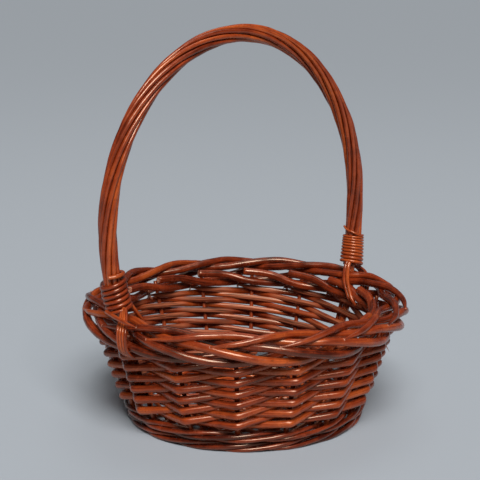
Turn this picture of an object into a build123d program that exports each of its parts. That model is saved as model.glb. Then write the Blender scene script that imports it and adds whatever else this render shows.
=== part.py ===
from build123d import *
import os
from math import cos, pi, radians, sin, sqrt

# A round willow basket with one tall fixed handle. Lengths are in millimetres, angles in degrees.
# The origin is on the ground under the middle of the base, Z is up and the handle spans X.

# Stakes and wall
STAKE_COUNT = 16
STAKE_STEP = 360 / STAKE_COUNT
STAKE_RADIUS = 2.5
STAKE_TOP = 101.5
STAKE_BOTTOM = 2
WALL_FOOT_RADIUS = 105
WALL_FLARE = 0.33
FIT_GAP = 0.2
SIDE_FIT_GAP = 1.0
HANDLE_FIT_GAP = 1.9

# Side rods, one from each stake, each climbing one pitch at every stake
SIDE_ROD_RADIUS = 2.6
SIDE_FIRST_HEIGHT = 29
SIDE_PITCH = 5.4
SIDE_STROKES = 12
SIDE_LEAD_IN = 1.15
SIDE_RUN_OUT = 0.27
SIDE_START_INSET = 6.5
SIDE_END_SPRING = 2
SIDE_END_BEND_RADIUS = 25
OUTER_KINK_RADIUS = 20
OUTER_KINK_TURN = 55
INNER_BEND_RADIUS = 100
INNER_BEND_TURN = 14

# Border of plaited rods
BORDER_RADIUS = 140.8
BORDER_HEIGHT = 104.3
BORDER_ROD_RADIUS = 3.3
# A border rod's way: stake steps clockwise from its own stake, then out and up from the border's middle.
BORDER_WAY = [
    (-0.15, -17.8, 1.5),
    (0.40, -17.9, -1.4),
    (1.00, -18.6, -7.4),
    (1.50, -9.5, -10.6),
    (2.00, 1.2, -11.5),
    (2.50, 7.6, -8.5),
    (3.00, 10.6, -2.0),
    (3.50, 7.9, 3.4),
    (4.00, 0.6, 3.7),
    (4.50, -7.0, 5.3),
    (5.00, -6.5, 10.6),
    (5.50, 2.3, 11.8),
    (6.00, 10.2, 7.3),
]

# Foot, two rounds of three-rod wale
FOOT_ROD_RADIUS = 2.05
FOOT_ROUNDS = 2
FOOT_ROUND_HEIGHT = 9.8
FOOT_FLAT_DEPTH = 0.5
# One stroke of the wale: stake steps, share of the way out from the stake line, and rise.
FOOT_STROKE = [(0, -1, 2.4), (0.5, 0.1, 0), (1, 1, 0.3), (1.5, 1.1, 2.1), (2, 1, 4.5), (2.5, 0.1, 5.5)]
FOOT_STROKE_STAKES = 3
FOOT_FIRST_STROKES = [(0, 5), (15, 5), (30, 6)]

# Base of crossed sticks and thin weavers
BASE_HEIGHT = 10.5
BASE_STICK_RADIUS = 2.6
BASE_STICK_REACH = 100
BASE_STICK_PITCH = 5.4
BASE_STICK_PLACES = [-1.5, -0.5, 0.5, 1.5]
BASE_CROSS_REACH = 13
BASE_STICK_BEND = 28
BASE_WEAVER_RADIUS = 1.8
BASE_WEAVER_PITCH = 4.4
# Half the angle that a weaver stays over or under the sticks that it crosses together.
BASE_CROSSING_HALF_WIDTHS = {4: 30, 2: 12, 1: 0}
# Stake steps from the cross to the first crossing, by the sticks crossed together.
BASE_FIRST_STEPS = {4: 0, 2: 1, 1: 0.5}
# Rounds of base weave: name, sticks crossed together, rods, first radius, turns.
BASE_ROUNDS = [
    ("base_weave_fours", 4, 1, 19.0, 2),
    ("base_weave_pairs", 2, 2, 30.6, 2),
    ("base_weave_inner", 1, 2, 57.0, 2),
    ("base_weave_outer", 1, 2, 83.4, 1),
]

# Handle: a bow beside a stake at each foot, roped with thinner rods
BOW_RADIUS = 3.7
BOW_FOOT_HEIGHTS = [34, 62, 92]
BOW_DETOUR_GAP = 0.8
BOW_DETOUR_SHARE = 1.03
# Where a rod goes round the bow, as shares of the angle from the stake to the bow.
OUTER_DETOUR_TURN = 0.5
INNER_DETOUR_TURN = 1.2
BORDER_TOP = 114
HANDLE_FOOT_REACH = 137
SHOULDER_HEIGHT = 190
SHOULDER_REACH = 148
ARCH_RISE = 170.5
HANDLE_LEAN = 7
HANDLE_STEP = 0.002
LEG_SHARE = 0.22
ROPE_FOOT = 123
ROPE_ROD_COUNT = 8
ROPE_ROD_RADIUS = 2.15
ROPE_FIT_GAP = 0.35
ROPE_TURNS = -1.9
ROPE_POINTS = 28
BOW_ARCH_POINTS = 28

# Lashings at the feet of the handle: rod radius, lowest and highest wrap, wraps, tilt
LEFT_WRAPS = (1.9, 123, 152.4, 5.75, 3)
RIGHT_WRAPS = (1.25, 123, 154, 9.25, 0)
WRAP_TILT_ANGLE = 219
WRAP_CLEARANCE = 0.25
STRAP_RADIUS = 1.3
OUTER_STRAP_PITCH = 3.1
INNER_STRAP_PITCH = 4.2
# Straps over the border, and the tail of the left lashing: out and up from the border's middle, and aside
LEFT_OUTER_WAY = [
    (4.5, 17.0, -11.0),
    (10.5, 14.0, -15.0),
    (15.2, 8.0, -20.0),
    (16.2, 0.0, -22.5),
    (14.5, -8.0, -22.5),
    (9.5, -14.0, -21.0),
    (5.0, -17.0, -20.0),
]
LEFT_INNER_WAY = [
    (-13.0, 17.5, -2.0),
    (-17.0, 13.5, -2.0),
    (-21.4, 7.0, -2.0),
    (-23.3, -1.0, -2.2),
    (-23.8, -7.5, -2.6),
    (-21.0, -13.0, -3.0),
]
RIGHT_OUTER_WAY = [
    (9.5, 14.6, 4.0),
    (13.6, 11.0, 2.5),
    (15.9, 6.0, 0.5),
    (16.2, 0.0, -1.0),
    (14.5, -8.0, -2.0),
    (9.5, -14.0, -2.0),
]
RIGHT_INNER_WAY = [
    (-13.0, 17.5, -4.5),
    (-17.0, 13.5, -8.0),
    (-21.4, 7.0, -13.5),
    (-23.3, -1.0, -20.0),
    (-23.8, -7.5, -25.0),
    (-21.0, -13.0, -28.5),
]
LEFT_TAIL_WAY = [(13.4, 20.5, 2.0), (15.5, 19.5, -13.0), (17.0, 18.0, -27.0), (16.5, 15.5, -41.0)]
# Strands, the distance between them, and their way
LEFT_STRAPS = [
    (4, OUTER_STRAP_PITCH, LEFT_OUTER_WAY),
    (2, INNER_STRAP_PITCH, LEFT_INNER_WAY),
    (1, 0, LEFT_TAIL_WAY),
]
RIGHT_STRAPS = [(4, OUTER_STRAP_PITCH, RIGHT_OUTER_WAY), (2, INNER_STRAP_PITCH, RIGHT_INNER_WAY)]

ROPE_RING_RADIUS = BOW_RADIUS + ROPE_ROD_RADIUS + ROPE_FIT_GAP
ROPE_RADIUS = ROPE_RING_RADIUS + ROPE_ROD_RADIUS
BOW_FOOT_REACH = WALL_FOOT_RADIUS + WALL_FLARE * BOW_FOOT_HEIGHTS[0]
LEG_SPREAD = SHOULDER_REACH - HANDLE_FOOT_REACH
WALL_LEAN_COSINE = 1 / sqrt(1 + WALL_FLARE**2)
# The stakes stand beside the bow, so the whole ring of stakes is turned by this angle.
STAKE_TURN = (BOW_RADIUS + STAKE_RADIUS + FIT_GAP) / BOW_FOOT_REACH * 180 / pi
BASE_CROSS_ANGLE = STAKE_TURN + STAKE_STEP / 2
BASE_CROSS_LEVEL = BASE_STICK_RADIUS + FIT_GAP / 2
STRAIGHT_LIMIT = 0.05


def around(radius, angle, height):
    """Point at a radius and an angle round the basket's axis, counted anticlockwise from +X."""
    return Vector(radius * cos(radians(angle)), radius * sin(radians(angle)), height)


def stake_line(height):
    """Distance of the stakes from the basket's axis."""
    return WALL_FOOT_RADIUS + WALL_FLARE * height


def stake_angle(number):
    """Angle of a stake, which may be a fraction for a place between two stakes."""
    return STAKE_TURN + STAKE_STEP * number


def beside_handle(number):
    """Whether a foot of the bow stands beside this stake."""
    return number % (STAKE_COUNT // 2) == 0


def rod_directions(points):
    """Direction of a smooth rod at each of its points."""
    runs = [end - start for start, end in zip(points, points[1:])]
    inner = [
        (before.normalized() * after.length + after.normalized() * before.length).normalized()
        for before, after in zip(runs, runs[1:])
    ]
    first_run = runs[0].normalized()
    last_run = runs[-1].normalized()
    first = first_run * (2 * first_run.dot(inner[0])) - inner[0]
    last = last_run * (2 * last_run.dot(inner[-1])) - inner[-1]
    return [first] + inner + [last]


def add_bend(start, end, direction):
    """One arc that leaves its start along a direction, or a straight run where it hardly turns."""
    if direction.get_angle(end - start) < STRAIGHT_LIMIT:
        Line(start, end)
    else:
        TangentArc(start, end, tangent=direction)


def add_rod_line(points):
    """Line of a bent rod: two tangent arcs from each of its points to the next."""
    directions = rod_directions(points)
    for start, end, leave, arrive in zip(points, points[1:], directions, directions[1:]):
        run = end - start
        along = run.dot(leave + arrive)
        turn = 1 - leave.dot(arrive)
        reach = run.dot(run) / (along + sqrt(along**2 + 2 * turn * run.dot(run)))
        from_start = start + leave * reach
        from_end = end - arrive * reach
        joint = (from_start + from_end) * 0.5
        add_bend(start, joint, leave)
        add_bend(joint, end, (from_end - from_start).normalized())


def add_rod(points, radius):
    """A round rod bent through its points."""
    with BuildLine() as line:
        add_rod_line(points)
    with BuildSketch(Plane(line.line @ 0, z_dir=line.line % 0)) as section:
        Circle(radius)
    sweep(section.sketch, path=line.wire(), clean=False)


def write(piece, name):
    """Names a finished piece and writes it."""
    piece.part.label = name
    export_step(piece.part, f"parts/{name}.step")


def side_rod_points(first_stake):
    """Corners and bend radii of a side rod: outside one stake, inside the next, one pitch up at each."""
    reach = (STAKE_RADIUS + SIDE_ROD_RADIUS + SIDE_FIT_GAP) / WALL_LEAN_COSINE
    handle_reach = (BOW_RADIUS + SIDE_ROD_RADIUS + HANDLE_FIT_GAP) / WALL_LEAN_COSINE
    kink_cut = OUTER_KINK_RADIUS * (1 / cos(radians(OUTER_KINK_TURN / 2)) - 1)
    bend_cut = INNER_BEND_RADIUS * (1 / cos(radians(INNER_BEND_TURN / 2)) - 1)
    corners = []
    radii = []
    for stroke in range(SIDE_STROKES):
        number = first_stake + stroke
        height = SIDE_FIRST_HEIGHT + SIDE_PITCH * stroke
        outside = stroke % 2 == 0
        offset = handle_reach if beside_handle(number) else reach
        shift = STAKE_TURN / 2 if beside_handle(number) else 0
        radius = stake_line(height) + (offset + kink_cut if outside else -offset - bend_cut)
        corners.append(around(radius, stake_angle(number) - shift, height))
        radii.append(OUTER_KINK_RADIUS if outside else INNER_BEND_RADIUS)
    start_height = SIDE_FIRST_HEIGHT - SIDE_PITCH * SIDE_LEAD_IN
    start_radius = stake_line(start_height) - SIDE_START_INSET
    start = around(start_radius, stake_angle(first_stake - SIDE_LEAD_IN), start_height)
    end_stroke = SIDE_STROKES - 1 + SIDE_RUN_OUT
    end_height = SIDE_FIRST_HEIGHT + SIDE_PITCH * end_stroke
    end_radius = stake_line(end_height) - reach + SIDE_END_SPRING
    end = around(end_radius, stake_angle(first_stake + end_stroke), end_height)
    return [start] + corners + [end], radii[:-1] + [SIDE_END_BEND_RADIUS]


def make_side_rod(number):
    corners, radii = side_rod_points(number)
    with BuildPart() as rod:
        with BuildLine() as line:
            FilletPolyline(*corners, radius=radii)
        with BuildSketch(Plane(line.line @ 0, z_dir=line.line % 0)):
            Circle(SIDE_ROD_RADIUS)
        sweep(clean=False)
    write(rod, f"side_rod_{number + 1:02d}")


def make_stakes():
    with BuildPart() as stakes:
        for number in range(STAKE_COUNT):
            angle = stake_angle(number)
            foot = around(stake_line(STAKE_BOTTOM), angle, STAKE_BOTTOM)
            top = around(stake_line(STAKE_TOP), angle, STAKE_TOP)
            with BuildSketch(Plane(foot, z_dir=top - foot)):
                Circle(STAKE_RADIUS)
            extrude(amount=(top - foot).length)
    write(stakes, "side_stakes")


def bow_line(height):
    """Distance of the bow from the basket's axis where it passes the border."""
    wall_height = BOW_FOOT_HEIGHTS[-1]
    share = (height - wall_height) / (ROPE_FOOT - wall_height)
    return stake_line(wall_height) * (1 - share) + handle_centre(1).X * share


def border_point(number, out, up):
    """Place on the border at a stake, moved aside where a rod would meet the bow beside that stake."""
    angle = stake_angle(number)
    bow_out = bow_line(BORDER_HEIGHT + up) - BORDER_RADIUS
    room = (BOW_RADIUS + BORDER_ROD_RADIUS + BOW_DETOUR_GAP) / WALL_LEAN_COSINE
    if beside_handle(number) and abs(out - bow_out) < BOW_DETOUR_SHARE * room:
        outside = out > bow_out + room / 2
        angle = angle - STAKE_TURN * (OUTER_DETOUR_TURN if outside else INNER_DETOUR_TURN)
        out = bow_out + (room if outside else -room)
    return around(BORDER_RADIUS + out, angle, BORDER_HEIGHT + up)


def border_rod_points(number):
    """Points of the border rod that starts at a stake."""
    return [border_point(number - steps, out, up) for steps, out, up in BORDER_WAY]


def make_border_rod(number):
    with BuildPart() as rod:
        add_rod(border_rod_points(number), BORDER_ROD_RADIUS)
    write(rod, f"border_rod_{number + 1:02d}")


def foot_rod_points(first_stroke, strokes, floor):
    """Strokes of one wale rod: behind one stake, then in front of two, rising as it goes."""
    reach = (STAKE_RADIUS + FOOT_ROD_RADIUS + FIT_GAP) / WALL_LEAN_COSINE
    points = []
    for stroke in range(strokes):
        for steps, out, rise in FOOT_STROKE:
            height = floor + rise
            stake = first_stroke + stroke * FOOT_STROKE_STAKES + steps
            points.append(around(stake_line(height) + reach * out, stake_angle(stake), height))
    return points


def make_foot_rod(round_number, rod_number):
    first_stroke, strokes = FOOT_FIRST_STROKES[rod_number]
    floor = FOOT_ROD_RADIUS - FOOT_FLAT_DEPTH + FOOT_ROUND_HEIGHT * round_number
    first_stroke = first_stroke + FOOT_STROKE_STAKES * round_number
    with BuildPart() as rod:
        add_rod(foot_rod_points(first_stroke, strokes, floor), FOOT_ROD_RADIUS)
        if round_number == 0:
            split(bisect_by=Plane.XY, keep=Keep.TOP)
    write(rod, f"foot_rod_{round_number * len(FOOT_FIRST_STROKES) + rod_number + 1}")


def base_stick_points(angle, level):
    """Four sticks side by side at the middle, fanning out to the stakes on both sides."""
    sticks = []
    for place in BASE_STICK_PLACES:
        middle = Vector(0, BASE_STICK_PITCH * place, 0).rotate(Axis.Z, angle)
        ahead = around(BASE_CROSS_REACH, angle, BASE_HEIGHT + level)
        behind = around(-BASE_CROSS_REACH, angle, BASE_HEIGHT + level)
        first = around(BASE_STICK_REACH, angle + 180 - STAKE_STEP * place, BASE_HEIGHT)
        last = around(BASE_STICK_REACH, angle + STAKE_STEP * place, BASE_HEIGHT)
        sticks.append([first, behind + middle, ahead + middle, last])
    return sticks


def make_base_sticks(name, angle, level):
    with BuildPart() as sticks:
        for corners in base_stick_points(angle, level):
            with BuildLine() as line:
                FilletPolyline(*corners, radius=BASE_STICK_BEND)
            with BuildSketch(Plane(line.line @ 0, z_dir=line.line % 0)):
                Circle(BASE_STICK_RADIUS)
            sweep(clean=False)
    write(sticks, name)


def stick_level(radius, angle):
    """How far the sticks at a place lie above or below the base's middle level."""
    fade = (BASE_STICK_REACH - radius) / (BASE_STICK_REACH - BASE_CROSS_REACH)
    return BASE_CROSS_LEVEL * fade * (-1 if cos(radians(2 * (angle - BASE_CROSS_ANGLE))) > 0 else 1)


def base_weave_points(together, rods, first_radius, turns):
    """Thin rods spiralling out across the sticks, one over where the other is under."""
    crossings = STAKE_COUNT // together
    step = 360 / crossings
    lift = BASE_STICK_RADIUS + BASE_WEAVER_RADIUS + FIT_GAP
    first_angle = BASE_CROSS_ANGLE + STAKE_STEP * BASE_FIRST_STEPS[together]
    half_width = BASE_CROSSING_HALF_WIDTHS[together]
    weave = []
    for rod in range(rods):
        places = [(first_angle - step / 2, 0)]
        for crossing in range(crossings * turns):
            over = lift if (crossing + rod) % 2 == 0 else -lift
            middle = first_angle + step * crossing
            places += [(angle, over) for angle in sorted({middle - half_width, middle + half_width})]
        places.append((first_angle + 360 * turns - step / 2, 0))
        points = []
        for angle, over in places:
            radius = first_radius + BASE_WEAVER_PITCH * (rod + rods * (angle - first_angle) / 360)
            level = stick_level(radius, angle) + over if over else 0
            points.append(around(radius, angle, BASE_HEIGHT + level))
        weave.append(points)
    return weave


def make_base_weave(name, together, rods, first_radius, turns):
    with BuildPart() as weave:
        for points in base_weave_points(together, rods, first_radius, turns):
            add_rod(points, BASE_WEAVER_RADIUS)
    write(weave, name)


def handle_centre(share):
    """Point of the handle's middle line, from the left foot (0) over the top (0.5) to the right (1)."""
    side = -1 if share < 0.5 else 1
    rise = min(share, 1 - share) * 2
    if rise < LEG_SHARE:
        height = ROPE_FOOT + (SHOULDER_HEIGHT - ROPE_FOOT) * rise / LEG_SHARE
        below = (SHOULDER_HEIGHT - height) / (SHOULDER_HEIGHT - BORDER_TOP)
        spread = 1 - below**2
        return Vector(side * (HANDLE_FOOT_REACH + LEG_SPREAD * spread), HANDLE_LEAN * spread, height)
    turn = pi / 2 * (rise - LEG_SHARE) / (1 - LEG_SHARE)
    return Vector(side * SHOULDER_REACH * cos(turn), HANDLE_LEAN, SHOULDER_HEIGHT + ARCH_RISE * sin(turn))


def off_handle(share, distance, angle):
    """Point at a distance from the handle's middle line, turned from its outer side."""
    direction = (handle_centre(share + HANDLE_STEP) - handle_centre(share - HANDLE_STEP)).normalized()
    outward = direction.cross(Vector(0, 1, 0)).normalized()
    sideways = outward.cross(direction)
    aside = outward * cos(radians(angle)) + sideways * sin(radians(angle))
    return handle_centre(share) + aside * distance


def bow_points():
    """Points of the bow, from its left foot inside the wall over the arch to its right foot."""
    feet = [around(stake_line(height), 0, height) for height in BOW_FOOT_HEIGHTS]
    arch = [handle_centre(number / BOW_ARCH_POINTS) for number in range(BOW_ARCH_POINTS + 1)]
    left = [Vector(-point.X, 0, point.Z) for point in feet]
    return left + arch + feet[::-1]


def make_handle_bow():
    with BuildPart() as bow:
        add_rod(bow_points(), BOW_RADIUS)
    write(bow, "handle_bow")


def rope_rod_points(number):
    """Points of one rod of the rope round the bow."""
    points = []
    for place in range(ROPE_POINTS + 1):
        share = place / ROPE_POINTS
        angle = 360 * (number / ROPE_ROD_COUNT + ROPE_TURNS * share)
        points.append(off_handle(share, ROPE_RING_RADIUS, angle))
    return points


def make_rope_rod(number):
    with BuildPart() as rod:
        add_rod(rope_rod_points(number), ROPE_ROD_RADIUS)
    write(rod, f"handle_rope_rod_{number + 1}")


def wrap_points(side, rod_radius, low, high, wraps, tilt):
    """Points of a rod wound round the foot of the handle, a quarter turn apart."""
    quarters = round(wraps * 4)
    ring = ROPE_RADIUS + rod_radius + WRAP_CLEARANCE
    leg = (SHOULDER_HEIGHT - ROPE_FOOT) / LEG_SHARE * 2
    points = []
    for quarter in range(quarters + 1):
        angle = -90 * quarter
        height = low + rod_radius + (high - low - 2 * rod_radius) * quarter / quarters
        height = height + tilt * cos(radians(angle - WRAP_TILT_ANGLE))
        up = (height - ROPE_FOOT) / leg
        share = up if side < 0 else 1 - up
        points.append(off_handle(share, ring, angle))
    return points


def make_wraps(name, side, rod_radius, low, high, wraps, tilt):
    points = wrap_points(side, rod_radius, low, high, wraps, tilt)
    gap = min((later - point).length for point, later in zip(points, points[4:])) - 2 * rod_radius
    print(f"{name}: least gap between turns {gap:.2f} mm")
    with BuildPart() as coil:
        add_rod(points, rod_radius)
    write(coil, name)


def strap_points(side, straps):
    """Strands over the border beside a foot of the handle, outside it and inside it."""
    strands = []
    for count, pitch, way in straps:
        for strand in range(count):
            points = []
            for out, up, slant in way:
                aside = slant + pitch * (strand - (count - 1) / 2)
                reach = sqrt((BORDER_RADIUS + out) ** 2 - aside**2)
                points.append(Vector(side * reach, aside, BORDER_HEIGHT + up))
            strands.append(points)
    return strands


def make_straps(name, side, straps):
    with BuildPart() as strands:
        for points in strap_points(side, straps):
            add_rod(points, STRAP_RADIUS)
    write(strands, name)


os.makedirs("parts", exist_ok=True)
make_stakes()
for stake in range(STAKE_COUNT):
    make_side_rod(stake)
for stake in range(STAKE_COUNT):
    make_border_rod(stake)
for foot_round in range(FOOT_ROUNDS):
    for foot_rod in range(len(FOOT_FIRST_STROKES)):
        make_foot_rod(foot_round, foot_rod)
make_base_sticks("base_sticks_lower", BASE_CROSS_ANGLE, -BASE_CROSS_LEVEL)
make_base_sticks("base_sticks_upper", BASE_CROSS_ANGLE + 90, BASE_CROSS_LEVEL)
for base_round in BASE_ROUNDS:
    make_base_weave(*base_round)
make_handle_bow()
for rope_rod in range(ROPE_ROD_COUNT):
    make_rope_rod(rope_rod)
make_wraps("left_lashing_wraps", -1, *LEFT_WRAPS)
make_wraps("right_lashing_wraps", 1, *RIGHT_WRAPS)
make_straps("left_lashing_straps", -1, LEFT_STRAPS)
make_straps("right_lashing_straps", 1, RIGHT_STRAPS)
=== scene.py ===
from math import cos, pi, radians, sin, sqrt
from random import Random

import bpy
import numpy as np
from bpy.props import FloatProperty, FloatVectorProperty, IntProperty, PointerProperty
from bpy.types import Operator, Panel, PropertyGroup
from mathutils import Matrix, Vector


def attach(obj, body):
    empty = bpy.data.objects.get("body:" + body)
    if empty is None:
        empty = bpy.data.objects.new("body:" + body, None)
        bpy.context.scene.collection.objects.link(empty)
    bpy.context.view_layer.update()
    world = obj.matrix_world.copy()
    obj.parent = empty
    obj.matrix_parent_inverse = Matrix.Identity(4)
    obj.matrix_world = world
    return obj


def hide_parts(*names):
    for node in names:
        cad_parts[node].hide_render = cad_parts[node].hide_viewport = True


bl_info = {
    "name": "Willow Basket",
    "version": (1, 0, 0),
    "blender": (4, 5, 0),
    "location": "View3D > Sidebar > Basket",
    "description": "Bends and varnishes the rods of a round willow basket",
    "category": "Object",
}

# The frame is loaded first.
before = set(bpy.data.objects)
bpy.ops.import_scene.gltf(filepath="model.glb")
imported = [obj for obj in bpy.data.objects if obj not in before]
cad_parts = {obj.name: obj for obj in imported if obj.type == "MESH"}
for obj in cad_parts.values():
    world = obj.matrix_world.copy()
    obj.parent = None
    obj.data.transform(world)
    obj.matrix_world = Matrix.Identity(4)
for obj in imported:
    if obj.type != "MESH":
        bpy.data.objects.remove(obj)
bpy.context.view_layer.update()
BODY = "root"
# Ways, gaps and heights in the lists below are in millimetres, and other lengths in metres.
MM = 0.001

# How a rod is drawn: sides of its section, rings between two knots, and how far a knot's bend spreads.
ROD_SIDES = 16
ROD_RINGS = 10
BORDER_RINGS = 14
FOOT_RINGS = 8
WEAVER_RINGS = 8
WRAP_RINGS = 6
SMOOTH_BEND = 0.34
KINK_BEND = 0.06
# A cut end and the swellings of a rod, as shares of its radius, and the size of a swelling.
CHAMFER_WIDTH = 0.16
CHAMFER_HEIGHT = 0.14
CUT_RIM_WIDTH = 0.5
PITH_EDGE_WIDTH = 0.1
PITH_DEPTH = 0.15
SWELLING_HEIGHT = 0.16
SWELLING_SIZE = 0.011

# Where each kind of rod starts its random draws.
STAKE_SEED = 16
SIDE_SEED = 116
BORDER_SEED = 216
FOOT_SEED = 316
BASE_SEED = 416
BOW_SEED = 516
ROPE_SEED = 616
LASHING_SEED = 716
# How much paler than the wall a rod is stained.
BORDER_PALE = -0.15
FOOT_PALE = -0.85
ROPE_PALE = 0.25
WRAP_PALE = 0.15
STRAP_PALE = 0.2

# Knots of a stake, as shares of its height.
STAKE_KNOTS = [0, 0.35, 0.7, 1]
# Side rods: strokes before the first stake and past the last, how many millimetres the end springs
# out, and girths as shares of the radius.
SIDE_LEAD_IN = 1.15
SIDE_RUN_OUT = 0.27
SIDE_END_SPRING = 2
SIDE_TIP_GIRTH = 0.3
SIDE_BUTT_GIRTH = 1.05
SIDE_THINNING = 0.08
OUTSIDE_GIRTH = 1.07
INSIDE_GIRTH = 0.82
SIDE_UNEVENNESS = 0.05
# Split faces: millimetres inside the stakes where they start and that they take to open, the same for
# how far a face looks inwards, the share that is cut away, and a power that makes wide splits common.
SPLIT_START = 1
SPLIT_OPENING = 3
SPLIT_FACING_START = 0.15
SPLIT_FACING_OPENING = 0.35
SPLIT_DEPTH = 0.5
SPLIT_POWER = 0.5

# A border rod's way: stake steps clockwise from its own stake, then out and up from the border's middle.
BORDER_WAY = [
    (-0.15, -17.6, 2.8),
    (0.40, -17.7, 0.2),
    (1.00, -18.6, -7.4),
    (1.50, -9.5, -10.6),
    (2.00, 1.2, -11.5),
    (2.50, 7.6, -8.5),
    (3.00, 10.6, -2.0),
    (3.50, 7.9, 3.4),
    (4.00, 0.6, 3.7),
    (4.50, -7.0, 5.9),
    (5.00, -6.9, 9.8),
    (5.50, 2.0, 11.0),
    (5.95, 8.8, 7.8),
    (6.35, 11.4, 4.6),
]
# Girths of a border rod: at its butt, how far it thins on its way, and at its last knots.
BORDER_BUTT_GIRTH = 1.03
BORDER_THINNING = 0.1
BORDER_TIP_GIRTHS = [0.88, 0.7, 0.3]
BORDER_UNEVENNESS = 0.03
# How near the bow a border rod has to give way, as a share of the room that it keeps.
BOW_DETOUR_SHARE = 1.03
# Heights at which each foot of the bow is held in the wall.
BOW_FOOT_HEIGHTS = [34, 62, 92]
# One stroke of the foot: stake steps, share of the way out from the stake line, and rise.
FOOT_STROKE = [(0, -1, 2.4), (0.5, 0.1, 0), (1, 1, 0.3), (1.5, 1.1, 2.1), (2, 1, 4.5), (2.5, 0.1, 5.5)]
FOOT_STROKE_STAKES = 3
FOOT_FIRST_STROKES = [(0, 5), (15, 5), (30, 6)]
FOOT_FIT_GAP = 0.3
FOOT_UNEVENNESS = 0.06
# Rounds of base weave: name, sticks crossed together, rods, first radius, turns.
BASE_ROUNDS = [
    ("base_weave_fours", 4, 1, 19.0, 2),
    ("base_weave_pairs", 2, 2, 30.6, 2),
    ("base_weave_inner", 1, 2, 57.0, 2),
    ("base_weave_outer", 1, 2, 83.4, 1),
]
# By the sticks crossed together: half the angle of a crossing, and stake steps to the first crossing.
BASE_CROSSING_HALF_WIDTHS = {4: 30, 2: 12, 1: 0}
BASE_FIRST_STEPS = {4: 0, 2: 1, 1: 0.5}
BASE_STICK_PLACES = [-1.5, -0.5, 0.5, 1.5]
BASE_CROSS_GAP = 0.1
BASE_WEAVE_GAP = 0.2
# Handle: share of its line over which its direction is taken, knots of the bow's arch and of a rope rod,
# how far a rope rod strays in millimetres, and how much the rods differ in girth.
HANDLE_STEP = 0.002
BOW_ARCH_KNOTS = 28
ROPE_KNOTS = 40
ROPE_STRAY = 0.25
ROPE_GIRTHS = (0.90, 1.06)
ROPE_UNEVENNESS = 0.04
# Straps over the border: strands, and their ways out and up from the border's middle and aside, with
# shares of the pitch between them.
OUTER_STRANDS = 4
INNER_STRANDS = 2
LEFT_OUTER_WAY = [
    (2.1, 24.0, -8.5, 0.5),
    (5.5, 19.0, -12.5, 0.75),
    (10.5, 14.0, -17.5, 0.95),
    (15.2, 8.0, -22.0, 1),
    (16.2, 0.0, -23.0, 1),
    (14.5, -8.0, -22.5, 1),
    (9.5, -14.0, -21.0, 1),
    (5.0, -17.0, -20.0, 1),
]
LEFT_INNER_WAY = [
    (-10.4, 23.5, -1.8, 0.5),
    (-13.6, 18.5, -2.0, 0.9),
    (-17.2, 13.2, -2.0, 1),
    (-21.4, 7.0, -2.0, 1),
    (-23.4, -1.0, -2.2, 1),
    (-23.8, -7.5, -2.6, 1),
    (-21.0, -13.0, -3.0, 1),
]
RIGHT_OUTER_WAY = [
    (6.8, 18.0, 4.5, 0.8),
    (9.5, 14.6, 4.0, 1),
    (13.6, 11.0, 2.5, 1),
    (15.9, 6.0, 0.5, 1),
    (16.2, 0.0, -1.0, 1),
    (14.5, -8.0, -2.0, 1),
    (9.5, -14.0, -2.0, 1),
]
RIGHT_INNER_WAY = [
    (-10.4, 23.5, -3.6, 0.7),
    (-13.4, 18.5, -4.8, 0.9),
    (-17.2, 13.2, -8.2, 1),
    (-21.4, 7.0, -13.5, 1.1),
    (-23.4, -1.0, -20.0, 1.1),
    (-23.8, -7.5, -25.0, 1.1),
    (-21.0, -13.0, -28.5, 1.1),
]
# Tail of the left lashing: out, up and aside, and its girths.
LEFT_TAIL_WAY = [(13.4, 20.5, 2.0), (15.5, 19.5, -13.0), (17.0, 18.0, -27.0), (16.5, 15.5, -41.0)]
LEFT_TAIL_GIRTHS = [1.0, 1.0, 0.8, 0.2]
# Wraps: knots of a turn and of the tail, and where they tilt up, how much at the foot and how it grows.
WRAP_KNOTS = 8
TAIL_KNOTS = 3
WRAP_TILT_ANGLE = radians(219)
WRAP_TILT_START = -0.4
WRAP_TILT_GROWTH = 1.3
# Cut end above the left wraps: degrees round the handle from its outer side, and rise over the wraps.
LOOSE_END_WAY = [(-42, 3.6), (-85, 3.6), (-130, 3.6), (-170, 3.4), (-210, 3.0), (-250, 2.4)]

# Noise in the willow: waves in a metre along and across a rod or in all directions, and detail.
STREAKS = ((30, 700, 700), 4)
FIBRES = ((24, 560, 560), 3)
FLECKS = ((260, 900, 900), 2)
MOTTLE = ((85, 85, 85), 4)
BLOTCH = ((24, 24, 24), 2)
SPECKLE = ((900, 900, 900), 3)
NOISE_ROUGHNESS = 0.55
# Stain: what the noise and a rod's own tone add to its lightness, and where the three colours lie.
STREAK_STAIN = 0.42
MOTTLE_STAIN = 0.24
BLOTCH_STAIN = 0.20
TONE_STAIN = 0.17
TONE_SHIFT = 0.70
STAIN_STOPS = (0.47, 0.63, 0.88)
# Greys along the noise that darken the stain in flecks and the pith in fibres.
FLECK_SHADES = [(0.30, 0.35), (0.42, 1.0)]
FLECK_STRENGTH = 0.7
PITH_SHADES = [(0.42, 0.12), (0.58, 1.25)]
# Varnish: its roughness and what mottling and splits add, its relief, and its gloss.
VARNISH_ROUGHNESS = 0.15
MOTTLE_ROUGHNESS = 0.22
SPLIT_ROUGHNESS = 0.22
STREAK_RELIEF = 0.5
MOTTLE_RELIEF = 0.6
FIBRE_RELIEF = 2.5
VARNISH_RELIEF = (0.35, 0.0005)
VARNISH_GLOSS = {
    "Specular IOR Level": 0.85,
    "Specular Tint": (1.0, 0.70, 0.50, 1),
    "Coat Weight": 0.04,
    "Coat Roughness": 0.15,
}
# Cut ends: where the two colours lie, relief and roughness.
CUT_STOPS = (0.32, 0.60)
CUT_RELIEF = (0.3, 0.0004)
CUT_ROUGHNESS = 0.55

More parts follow.
